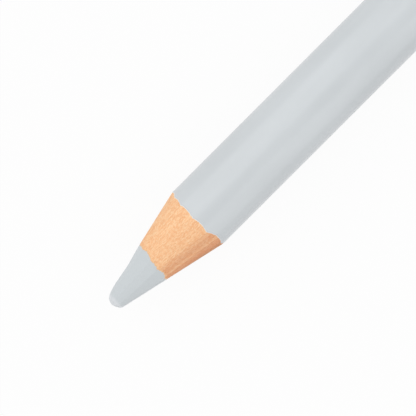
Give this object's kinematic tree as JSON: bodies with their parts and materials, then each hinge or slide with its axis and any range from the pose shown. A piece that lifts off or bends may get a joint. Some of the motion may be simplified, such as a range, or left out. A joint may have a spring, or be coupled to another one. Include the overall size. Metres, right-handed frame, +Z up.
{
  "type": "pastel pencil",
  "caption": "Round pastel pencil with a thick pale grey pastel core in a grey lacquered cedar casing, sharpened to a long cone with a worn point.",
  "frame": {"origin": "on the surface that the pencil lies on, under the middle of its length", "axes": "+X along the pencil towards the worn point, +Z up, +Y across the barrel"},
  "size_m": [0.175, 0.008, 0.008],
  "materials": {
    "pastel": "matt pressed chalk pastel, very fine grained",
    "cedar": "bare sharpened cedar, fine lengthwise grain",
    "glue": "dried white wood glue",
    "primer": "matt white filler primer",
    "grey_lacquer": "opaque pale grey pencil lacquer",
    "clear_lacquer": "satin clear varnish over the grey"
  },
  "bodies": {
    "root": {"pastel_core": "pastel", "upper_slat": "cedar", "lower_slat": "cedar", "core_glue_sleeve": "glue", "left_seam_glue": "glue", "right_seam_glue": "glue", "primer_coat": "primer", "colour_coat": "grey_lacquer", "clear_coat": "clear_lacquer"}
  },
  "joints": []
}
